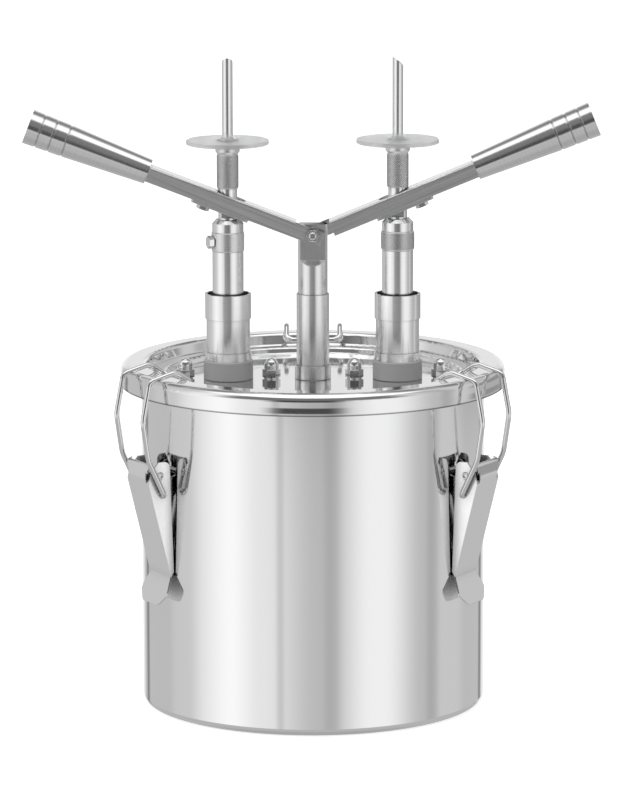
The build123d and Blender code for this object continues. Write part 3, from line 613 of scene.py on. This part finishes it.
def brushed_metal(name, colour, roughness, axis, across, edge=0.0):
    """Brushed sheet: short scratches that run along the axis.

    The noise is stretched along the axis: its position is the share along the axis times a
    small number, and the rest of the position times a large one.
    """
    material, tree, shader, position = new_finish(name, colour, roughness)
    place = calc_vector(tree, "DOT_PRODUCT", position, axis)
    lengthwise = scaled(tree, axis, place)
    rest = calc_vector(tree, "SUBTRACT", position, lengthwise)
    stretched = calc_vector(tree, "ADD", rest, scaled(tree, lengthwise, 0.012))
    scratches = noise(tree, stretched, 1500.0, 3.0, 0.6)
    strokes = noise(tree, stretched, 500.0, 2.0, 0.6)
    both = calc(tree, "MULTIPLY_ADD", scratches, 0.55, calc(tree, "MULTIPLY", strokes, 0.45))
    grain = noise(tree, position, 1300.0, 2.0, 0.6)
    # the top of the channel keeps its mill finish, smoother than the brushed walls, and is painted
    # lighter than them as a highlight
    wall = soft_step(tree, calc(tree, "ABSOLUTE", face_normal(tree)["Y"]), 0.3, 0.7)
    shifted = calc(tree, "SUBTRACT", both, 0.5)
    spread = calc(tree, "MULTIPLY_ADD", shifted, 0.3 * roughness, roughness)
    smooth = calc(tree, "MULTIPLY_ADD", wall, 0.5, 0.5)
    feed(tree, shader.inputs["Roughness"], calc(tree, "MULTIPLY", spread, smooth))
    tint = calc(tree, "MULTIPLY_ADD", both, 1.1, calc(tree, "MULTIPLY_ADD", grain, 0.5, 0.2))
    # painted highlight: the top faces get a lighter colour than the walls
    level = calc(tree, "MULTIPLY", tint, calc(tree, "MULTIPLY_ADD", wall, -0.2, 1.28))
    feed(tree, shader.inputs["Base Color"], scaled(tree, colour, level))
    # painted shade: the colour darkens where other surfaces stand close
    paint_crevice_shade(tree, shader, 0.003, 0.7)
    relief(tree, shader, both, 0.00003, 0.5, edge)
    along_grain(tree, shader, across, 0.55)
    return material


def screw_metal(name, colour, edge, roughness=0.2):
    """Cold-formed screw steel with soft edges and a faint mottle."""
    material, tree, shader, position = new_finish(name, colour, roughness)
    mottle = noise(tree, position, 900.0, 4.0)
    vary(tree, shader.inputs["Roughness"], mottle, roughness, 0.4 * roughness)
    relief(tree, shader, mottle, 0.00002, 0.4, edge)
    return material


def turned_plastic(name, colour, roughness, edge):
    """Turned plastic with fine tool marks round the Z axis."""
    material, tree, shader, position = new_finish(name, colour, roughness, 0.0)
    marks = line_noise(tree, axes(tree, position)["Z"], 1800.0, 3.0)
    grain = noise(tree, position, 1400.0, 3.0)
    both = calc(tree, "MULTIPLY_ADD", marks, 0.6, calc(tree, "MULTIPLY", grain, 0.4))
    vary(tree, shader.inputs["Roughness"], both, roughness, 0.12)
    tint = calc(tree, "MULTIPLY_ADD", both, 0.16, 0.92)
    feed(tree, shader.inputs["Base Color"], scaled(tree, colour, tint))
    relief(tree, shader, both, 0.00003, 0.5, edge)
    return material


def milky_plastic(name, colour, edge):
    """Milky, slightly see-through plastic of the stop discs."""
    material, tree, shader, position = new_finish(name, colour, 0.38, 0.0)
    shader.inputs["Transmission Weight"].default_value = 0.8
    shader.inputs["IOR"].default_value = 1.45
    shader.inputs["Subsurface Weight"].default_value = 0.25
    shader.inputs["Subsurface Radius"].default_value = (1.0, 1.0, 1.0)
    shader.inputs["Subsurface Scale"].default_value = 0.004
    cloud = noise(tree, position, 160.0, 3.0)
    vary(tree, shader.inputs["Roughness"], cloud, 0.38, 0.08)
    relief(tree, shader, cloud, 0.00004, 0.4, edge)
    return material


def soft_rubber(name, colour):
    """Food rubber with a fine matt grain."""
    material, tree, shader, position = new_finish(name, colour, 0.55, 0.0)
    grain = noise(tree, position, 2200.0, 3.0)
    vary(tree, shader.inputs["Roughness"], grain, 0.55, 0.1)
    relief(tree, shader, grain, 0.00002, 0.4)
    return material


# ------------------------------------------------------------------ new surfaces


def grid_piece(name, points, closed_round, material):
    """A mesh object from a grid of points shaped (rows, columns, 3).

    Each cell of the grid becomes one quadrilateral; closed_round joins the last column to the
    first, and rows run so that faces point outwards.
    """
    rows, columns = points.shape[:2]
    index = np.arange(rows * columns).reshape(rows, columns)
    right = np.roll(index, -1, axis=1)
    if not closed_round:
        index, right = index[:, :-1], right[:, :-1]
    quads = np.stack([index[:-1], right[:-1], right[1:], index[1:]], axis=-1).reshape(-1, 4)
    mesh = bpy.data.meshes.new(name)
    mesh.vertices.add(rows * columns)
    mesh.vertices.foreach_set("co", points.reshape(-1).astype(np.float32))
    mesh.loops.add(quads.size)
    mesh.loops.foreach_set("vertex_index", quads.reshape(-1).astype(np.int32))
    mesh.polygons.add(len(quads))
    mesh.polygons.foreach_set("loop_start", np.arange(0, quads.size, 4, dtype=np.int32))
    mesh.update(calc_edges=True)
    mesh.validate()
    mesh.materials.append(material)
    piece = bpy.data.objects.new(name, mesh)
    bpy.context.scene.collection.objects.link(piece)
    return piece


def triangle_wave(phase):
    """1 at whole phases and 0 half-way between them, with straight flanks."""
    return np.abs(2.0 * (phase - np.floor(phase)) - 1.0)


def knurled_band(name, centre, low, high, radius, depth, teeth, steps, material):
    """A closed band with a diamond knurl.

    The outer face is r = radius + depth * min(w(u + v), w(u - v)), where u counts the teeth
    round the band, v is the height in the same pitch and w is a triangle wave. The depth runs
    out to nothing at both ends. The band closes on an inner face a little below the radius.
    """
    pitch = FULL_TURN * radius / teeth
    height = high - low
    rows = max(4, int(round(height / pitch * steps)) + 1)
    around = teeth * steps
    turn = np.linspace(0.0, FULL_TURN, around, endpoint=False)
    level = np.linspace(low, high, rows)
    turns, levels = np.meshgrid(turn, level)
    u = turns * teeth / FULL_TURN
    v = (levels - low) / pitch
    diamonds = np.minimum(triangle_wave(u + v), triangle_wave(u - v))
    fade = np.clip(np.minimum(levels - low, high - levels) / (0.35 * pitch), 0.0, 1.0)
    reach = radius + 0.00002 + depth * (0.25 + 0.75 * np.minimum(diamonds * 1.35, 1.0)) * fade
    inner = np.full((1, around), radius - 0.0001)
    radii = np.concatenate([inner, reach, inner, inner], axis=0)
    heights = np.concatenate([levels[:1], levels, levels[-1:], levels[:1]], axis=0)
    wrapped = np.repeat(turns[:1], len(radii), axis=0)
    points = np.stack(
        [centre.x + radii * np.cos(wrapped), centre.y + radii * np.sin(wrapped), heights],
        axis=-1,
    )
    return grid_piece(name, points, True, material)


# ------------------------------------------------------------------ operators


class Finisher:
    """What all the finishing operators share."""

    bl_options = {"REGISTER", "UNDO"}


class FILLER_OT_studio(Finisher, bpy.types.Operator):
    """Sets up the camera, the floor, the light tent and the lamp"""

    bl_idname = "filler.studio"
    bl_label = "Studio"

    def execute(self, context):
        sizes = context.scene.filler_studio
        self.camera(context, sizes)
        self.floor(sizes)
        self.tent(context, sizes)
        self.lamp(sizes)
        context.scene.view_settings.view_transform = "Standard"
        return {"FINISHED"}

    def camera(self, context, sizes):
        """The camera of the photograph."""
        data = bpy.data.cameras.new("camera")
        data.lens = sizes.focal_length
        data.sensor_width = 36.0
        data.clip_end = 60.0
        view = bpy.data.objects.new("camera", data)
        view.location = sizes.camera_place
        view.rotation_euler = Euler((math.pi / 2 - sizes.camera_pitch, sizes.camera_roll, 0.0))
        context.scene.collection.objects.link(view)
        context.scene.camera = view

    def floor(self, sizes):
        """A round pale floor: rings at radii that grow by a constant factor.

        The steel doesn't mirror it: glossy rays pass through to the tent's table.
        """
        turn = np.linspace(0.0, FULL_TURN, FLOOR_SPOKES, endpoint=False)
        radii = np.geomspace(0.002, sizes.floor_radius, FLOOR_RINGS)
        radii, turns = np.meshgrid(radii, turn, indexing="ij")
        heights = np.full_like(radii, -FLOOR_DROP)
        points = np.stack([radii * np.cos(turns), radii * np.sin(turns), heights], axis=-1)
        material = bpy.data.materials.new("floor")
        material.use_nodes = True
        tree = material.node_tree
        tree.nodes.clear()
        paint = add_node(tree, "ShaderNodeBsdfDiffuse")
        paint.inputs["Color"].default_value = (*sizes.floor_colour, 1.0)
        glow = add_node(tree, "ShaderNodeEmission")
        shown = calc(tree, "MULTIPLY", shown_ray(tree), sizes.floor_glow)
        feed(tree, glow.inputs["Strength"], shown)
        lit = add_node(tree, "ShaderNodeAddShader")
        feed(tree, lit.inputs[0], paint.outputs[0])
        feed(tree, lit.inputs[1], glow.outputs[0])
        clear = add_node(tree, "ShaderNodeBsdfTransparent")
        choice = add_node(tree, "ShaderNodeMixShader")
        mirrored = add_node(tree, "ShaderNodeLightPath").outputs["Is Glossy Ray"]
        feed(tree, choice.inputs[0], mirrored)
        feed(tree, choice.inputs[1], lit.outputs[0])
        feed(tree, choice.inputs[2], clear.outputs[0])
        output = add_node(tree, "ShaderNodeOutputMaterial")
        feed(tree, output.inputs["Surface"], choice.outputs[0])
        floor = grid_piece("floor", points[::-1], True, material)

    def tent(self, context, sizes):
        """The light tent as a world: soft panels and flags by compass angle and height.

        A panel adds a smooth step that falls from its inner to its outer half width, in
        degrees from its middle; angle 0 is towards the camera and grows to the right. Heights
        are in degrees above the horizon. Later parts cover earlier ones.
        """
        world = bpy.data.worlds.new("light_tent")
        context.scene.world = world
        world.use_nodes = True
        tree = world.node_tree
        tree.nodes.clear()
        ray = axes(tree, add_node(tree, "ShaderNodeTexCoord").outputs["Generated"])
        front = calc(tree, "MULTIPLY", ray["Y"], -1.0)
        compass = calc(tree, "DEGREES", calc(tree, "ARCTAN2", ray["X"], front))
        height = calc(tree, "DEGREES", calc(tree, "ARCSINE", ray["Z"]))
        away = calc(tree, "ABSOLUTE", compass)

        def step(value, start, end, low=0.0, high=1.0):
            return soft_step(tree, value, start, end, low, high)

        def within(*shares):
            """Where all the shares hold at once."""
            whole = shares[0]
            for share in shares[1:]:
                whole = calc(tree, "MULTIPLY", whole, share)
            return whole

        def from_middle(middle_angle):
            """Degrees to the left or right of a compass angle."""
            return calc(tree, "ABSOLUTE", calc(tree, "SUBTRACT", compass, middle_angle))

        level = sizes.tent_level
        for middle_angle, inner, outer, strength in TENT_PANELS:
            panel = step(from_middle(middle_angle), outer, inner, 0.0, strength)
            level = calc(tree, "ADD", level, panel)
        backing = within(step(height, 4.0, 16.0, 0.36, 0.2), step(away, 156.0, 166.0))
        level = calc(tree, "ADD", level, backing)
        covers = (
            # the table's front part, and the table top below the object
            (step(height, -15.5, -22.0), sizes.apron_level),
            (step(height, -50.0, -62.0), sizes.table_level),
            # the dark opening behind the camera: a wide part, and a low slot in its middle
            (within(step(height, 2.0, 16.0), step(away, 72.0, 46.0)), sizes.room_level),
            (
                within(
                    step(height, -10.9, -8.4),
                    step(from_middle(-4.0), 30.0, 12.0),
                    step(height, 24.0, 8.0),
                ),
                sizes.slot_level,
            ),
            # a dull flag on the right, above the table's edge
            (
                within(
                    step(height, -11.0, -9.0),
                    step(height, 12.0, 4.0),
                    step(from_middle(130.0), 28.0, 16.0),
                ),
                sizes.flag_level,
            ),
            # a dark strut high at the back
            (
                within(
                    step(height, 34.0, 42.0),
                    step(height, 66.0, 60.0),
                    step(away, 112.0, 130.0),
                ),
                sizes.strut_level,
            ),
            # the bright roof, which reaches further down over the camera
            (
                calc(
                    tree,
                    "MAXIMUM",
                    step(height, 66.0, 72.0),
                    within(step(height, 47.0, 55.0), step(away, 112.0, 88.0)),
                ),
                sizes.roof_level,
            ),
            # the white background of the picture
            (shown_ray(tree), 1.0),
        )
        for share, shade in covers:
            level = between(tree, share, level, shade)
        light = add_node(tree, "ShaderNodeBackground")
        light.inputs["Color"].default_value = (1.0, 1.0, 1.0, 1.0)
        feed(tree, light.inputs["Strength"], level)
        output = add_node(tree, "ShaderNodeOutputWorld")
        feed(tree, output.inputs["Surface"], light.outputs[0])

    def lamp(self, sizes):
        """A large soft lamp high on the left, towards the camera."""
        data = bpy.data.lights.new("soft_lamp", "AREA")
        data.shape = "DISK"
        data.size = 1.6
        data.energy = sizes.lamp_power
        lamp = bpy.data.objects.new("soft_lamp", data)
        lamp.location = (-0.7, -1.0, 2.1)
        lamp.visible_glossy = False
        aim = Vector((0.0, 0.0, 0.25)) - lamp.location
        lamp.rotation_euler = aim.to_track_quat("-Z", "Y").to_euler()
        bpy.context.scene.collection.objects.link(lamp)


class FILLER_OT_drum(Finisher, bpy.types.Operator):
    """Polishes the drum, the lid and the gasket"""

    bl_idname = "filler.drum"
    bl_label = "Drum and lid"

    def execute(self, context):
        steel = context.scene.filler_steel
        plastic = context.scene.filler_plastic
        drum = polished_sheet("drum_polish", steel.polished_colour, steel.polished_roughness)
        dress(drum, "drum")
        dress(self.lid_finish(steel, context.scene.filler_skirt), "lid")
        dress(soft_rubber("gasket_rubber", plastic.rubber_colour), "lid_gasket")
        return {"FINISHED"}

    def lid_finish(self, steel, skirt):
        """Polished sheet whose skirt swells a little downwards, and has shade painted as a dark
        band on its bottom edge.

        The swell is a smooth step in height, about a tenth of a millimetre proud below it.
        """
        colour, roughness = steel.polished_colour, steel.polished_roughness
        material = polished_sheet("lid_polish", colour, roughness, True)
        tree = material.node_tree
        shader = tree.nodes["Principled BSDF"]
        position = object_position(tree)
        height = axes(tree, position)["Z"]
        flat = calc_vector(tree, "MULTIPLY", position, (1.0, 1.0, 0.0))
        outside = calc(tree, "GREATER_THAN", calc_vector(tree, "LENGTH", flat), skirt.inner_radius)
        swell = soft_step(tree, height, skirt.swell_top, skirt.swell_foot)
        bump = add_node(tree, "ShaderNodeBump")
        bump.inputs["Strength"].default_value = 1.0
        bump.inputs["Distance"].default_value = skirt.swell_depth
        feed(tree, bump.inputs["Height"], calc(tree, "MULTIPLY", swell, outside))
        feed(tree, bump.inputs["Normal"], shader.inputs["Normal"].links[0].from_socket)
        feed(tree, shader.inputs["Normal"], bump.outputs["Normal"])
        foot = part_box("lid")[0].z
        # painted shade: the skirt's bottom edge gets a dark colour, standing for its shadow and
        # the dark table it mirrors
        edge = soft_step(tree, height, foot + skirt.lip_top, foot + skirt.lip_foot)
        lip = calc(tree, "MULTIPLY", edge, outside)
        dull_and_shaded = mix_colours(tree, lip, (*colour, 1.0), (*skirt.lip_shade_colour, 1.0))
        feed(tree, shader.inputs["Base Color"], dull_and_shaded)
        return material


class FILLER_OT_latches(Finisher, bpy.types.Operator):
    """Finishes the bails, the latch levers, their brackets and rivets"""

    bl_idname = "filler.latches"
    bl_label = "Latches"

    def execute(self, context):
        steel = context.scene.filler_steel
        stamped = stamped_metal("stamped_sheet", (0.97, 0.97, 0.97), 0.2, 0.0005)
        wire = polished_sheet("drawn_wire", (0.82, 0.82, 0.825), 0.1)
        for name in LATCHES:
            dress(stamped, f"latch_lever_{name}")
            dress(wire, f"latch_bail_{name}")
        dress(stamped, "latch_brackets")
        dress(screw_metal("rivet_steel", steel.screw_colour, steel.edge_round), "latch_pins")
        return {"FINISHED"}


class FILLER_OT_post(Finisher, bpy.types.Operator):
    """Finishes the centre post, its milled tongue and its nut"""

    bl_idname = "filler.post"
    bl_label = "Centre post"

    def execute(self, context):
        steel = context.scene.filler_steel
        colour, roughness = steel.turned_colour, steel.turned_roughness
        dress(turned_metal("post_turned", colour, roughness, edge=0.0003), "post_sleeve")
        dress(self.rod(steel), "post_rod")
        dress(screw_metal("post_nut_steel", steel.screw_colour, steel.edge_round), "post_nut")
        return {"FINISHED"}

    def rod(self, steel):
        """Turned steel whose tongue is milled: rougher, darker and marked lengthwise."""
        colour, roughness = steel.turned_colour, steel.turned_roughness
        material = turned_metal("rod_turned", colour, roughness, edge=0.0003)
        tree = material.node_tree
        shader = tree.nodes["Principled BSDF"]
        position = object_position(tree)
        parts = axes(tree, position)
        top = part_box("post_rod")[1].z
        high = calc(tree, "GREATER_THAN", parts["Z"], top - TONGUE_LENGTH)
        flat = calc(tree, "LESS_THAN", calc(tree, "ABSOLUTE", parts["Y"]), TONGUE_HALF)
        plain = calc(tree, "GREATER_THAN", calc(tree, "ABSOLUTE", face_normal(tree)["Y"]), 0.97)
        milled = calc(tree, "MULTIPLY", calc(tree, "MULTIPLY", high, flat), plain)
        marks = line_noise(tree, parts["X"], 1500.0, 3.0)
        stretched = calc_vector(tree, "MULTIPLY", position, (1.0, 1.0, 0.04))
        grain = noise(tree, stretched, 1800.0, 3.0)
        both = calc(tree, "MULTIPLY_ADD", marks, 0.4, calc(tree, "MULTIPLY", grain, 0.6))
        dull_and_shaded = scaled(tree, steel.brushed_colour, calc(tree, "MULTIPLY_ADD", both, 0.4, 0.8))
        base = shader.inputs["Base Color"].links[0].from_socket
        rough = shader.inputs["Roughness"].links[0].from_socket
        feed(tree, shader.inputs["Base Color"], mix_colours(tree, milled, base, dull_and_shaded))
        coarse = calc(tree, "MULTIPLY_ADD", both, 0.2, 0.28)
        feed(tree, shader.inputs["Roughness"], between(tree, milled, rough, coarse))
        return material


class FILLER_OT_levers(Finisher, bpy.types.Operator):
    """Brushes the levers and key plates and polishes the handles along their own axes"""

    bl_idname = "filler.levers"
    bl_label = "Levers and handles"

    def execute(self, context):
        steel = context.scene.filler_steel
        for name in SIDES:
            inner = middle(f"lever_{name}")
            outer = middle(f"handle_{name}")
            axis = Vector((outer.x, 0.0, outer.z)) - Vector((inner.x, 0.0, inner.z))
            axis.normalize()
            lift = Vector((-axis.z, 0.0, axis.x))
            across = (lift + Vector((0.0, 1.0, 0.0))).normalized()
            sheet = brushed_metal(
                f"lever_sheet_{name}",
                steel.brushed_colour,
                steel.brushed_roughness,
                tuple(axis),
                tuple(across),
                steel.edge_round,
            )
            dress(sheet, f"lever_{name}", f"key_plate_{name}")
            grip = turned_metal(
                f"handle_polish_{name}",
                (0.88, 0.88, 0.885),
                0.17,
                tuple(axis),
                900.0,
                0.0003,
            )
            dress(grip, f"handle_{name}")
        return {"FINISHED"}


class FILLER_OT_pumps(Finisher, bpy.types.Operator):
    """Finishes the tubes, stems, collars, caps, needles and the hidden pump pieces"""

    bl_idname = "filler.pumps"
    bl_label = "Pumps"

    def execute(self, context):
        steel = context.scene.filler_steel
        plastic = context.scene.filler_plastic
        sleeve = turned_metal("sleeve_turned", (0.9, 0.9, 0.905), 0.17, edge=0.0003)
        tube = turned_metal("tube_turned", (0.9, 0.9, 0.905), 0.16, edge=0.0004)
        collar = turned_metal("collar_turned", (0.8, 0.8, 0.805), 0.3, density=1800.0, edge=0.0005)
        bright = turned_metal("bright_turned", (0.88, 0.88, 0.885), 0.12, edge=0.0004)
        needle = turned_metal("needle_drawn", (0.86, 0.86, 0.865), 0.15, density=2400.0)
        hidden = turned_metal("inner_steel", steel.turned_colour, 0.25)
        wire = polished_sheet("spring_wire", steel.turned_colour, 0.2)
        inner = turned_plastic("inner_plastic", plastic.inner_colour, 0.42, 0.0003)
        rubber = soft_rubber("seal_rubber", plastic.rubber_colour)
        for name in SIDES:
            dress(sleeve, f"guide_sleeve_{name}")
            dress(tube, f"cover_tube_{name}")
            dress(collar, f"stop_collar_{name}")
            dress(bright, f"cap_{name}", f"stem_{name}")
            dress(collar, f"adapter_{name}")
            dress(needle, f"needle_{name}")
            dress(hidden, f"cylinder_{name}")
            dress(inner, f"piston_{name}")
            dress(rubber, f"piston_seal_{name}")
            dress(wire, f"spring_{name}")
            dress(bright, f"inlet_ball_{name}", f"outlet_ball_{name}")
        dress(hidden, "stud_flanges", "inlet_valves")
        dress(inner, "stem_guides")
        return {"FINISHED"}


class FILLER_OT_plastics(Finisher, bpy.types.Operator):
    """Finishes the grey bushes and the milky stop discs"""

    bl_idname = "filler.plastics"
    bl_label = "Bushes and discs"

    def execute(self, context):
        plastic = context.scene.filler_plastic
        bush = turned_plastic("bush_grey", plastic.bush_colour, 0.4, 0.0006)
        milky = milky_plastic("disc_milky", plastic.disc_colour, 0.0004)
        for name in SIDES:
            dress(bush, f"lid_bush_{name}")
            dress(milky, f"disc_{name}")
        return {"FINISHED"}


class FILLER_OT_screws(Finisher, bpy.types.Operator):
    """Finishes the dome nuts, the pivot bolt with its nut and the small hexagon screws"""

    bl_idname = "filler.screws"
    bl_label = "Screws and nuts"

    def execute(self, context):
        steel = context.scene.filler_steel
        screw = screw_metal("screw_steel", (0.86, 0.86, 0.865), steel.edge_round, 0.12)
        dome = screw_metal("dome_steel", (0.86, 0.86, 0.865), steel.edge_round, 0.09)
        pivot = screw_metal("nut_steel", (0.98, 0.98, 0.98), 0.0008, 0.1)
        dress(dome, "dome_nuts")
        dress(pivot, "pivot_bolt", "pivot_nut")
        for name in SIDES:
            dress(screw, f"stop_screw_{name}", f"plate_screw_{name}")
        return {"FINISHED"}


class FILLER_OT_knurls(Finisher, bpy.types.Operator):
    """Adds the diamond knurl to the needle holders and to the right-hand stop collar"""

    bl_idname = "filler.knurls"
    bl_label = "Knurls"

    def execute(self, context):
        sizes = context.scene.filler_knurl
        steel = context.scene.filler_steel
        metal = screw_metal("knurl_steel", (0.56, 0.56, 0.565), 0.0, 0.24)
        for name in SIDES:
            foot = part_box(f"adapter_{name}")[0].z
            holder = knurled_band(
                f"holder_knurl_{name}",
                middle(f"adapter_{name}"),
                foot + sizes.band_margin,
                foot + sizes.holder_band - sizes.band_margin,
                sizes.holder_radius,
                sizes.holder_depth,
                sizes.holder_teeth,
                sizes.steps_per_tooth,
                metal,
            )
            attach(holder, f"pump_{name}")
        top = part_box("stop_collar_right")[1].z
        collar = knurled_band(
            "collar_knurl_right",
            middle("stop_collar_right"),
            top - sizes.collar_band + 2 * sizes.band_margin,
            top - 2 * sizes.band_margin,
            sizes.collar_radius,
            sizes.collar_depth,
            sizes.collar_teeth,
            sizes.steps_per_tooth,
            metal,
        )
        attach(collar, "pump_right")
        return {"FINISHED"}


STEPS = (
    FILLER_OT_studio,
    FILLER_OT_drum,
    FILLER_OT_latches,
    FILLER_OT_post,
    FILLER_OT_levers,
    FILLER_OT_pumps,
    FILLER_OT_plastics,
    FILLER_OT_screws,
    FILLER_OT_knurls,
)


class FILLER_PT_panel(bpy.types.Panel):
    """Lists the finishing steps and their sizes"""

    bl_label = "Donut filler"
    bl_idname = "FILLER_PT_panel"
    bl_space_type = "VIEW_3D"
    bl_region_type = "UI"
    bl_category = "Donut filler"

    def draw(self, context):
        layout = self.layout
        for step in STEPS:
            layout.operator(step.bl_idname)
        for name, group in GROUPS:
            sizes = getattr(context.scene, name)
            box = layout.box()
            for key in group.__annotations__:
                box.prop(sizes, key)


GROUPS = (
    ("filler_studio", StudioSizes),
    ("filler_steel", SteelFinish),
    ("filler_plastic", PlasticFinish),
    ("filler_skirt", SkirtFinish),
    ("filler_knurl", KnurlSizes),
)


def register():
    """Registers the settings, the steps and the panel."""
    for name, group in GROUPS:
        bpy.utils.register_class(group)
        setattr(bpy.types.Scene, name, PointerProperty(type=group))
    for step in STEPS:
        bpy.utils.register_class(step)
    bpy.utils.register_class(FILLER_PT_panel)


def unregister():
    """Removes what register added."""
    bpy.utils.unregister_class(FILLER_PT_panel)
    for step in reversed(STEPS):
        bpy.utils.unregister_class(step)
    for name, group in reversed(GROUPS):
        delattr(bpy.types.Scene, name)
        bpy.utils.unregister_class(group)


def main():
    """Runs every step in order."""
    register()
    for step in STEPS:
        family, action = step.bl_idname.split(".")
        getattr(getattr(bpy.ops, family), action)()


if __name__ == "__main__":
    main()
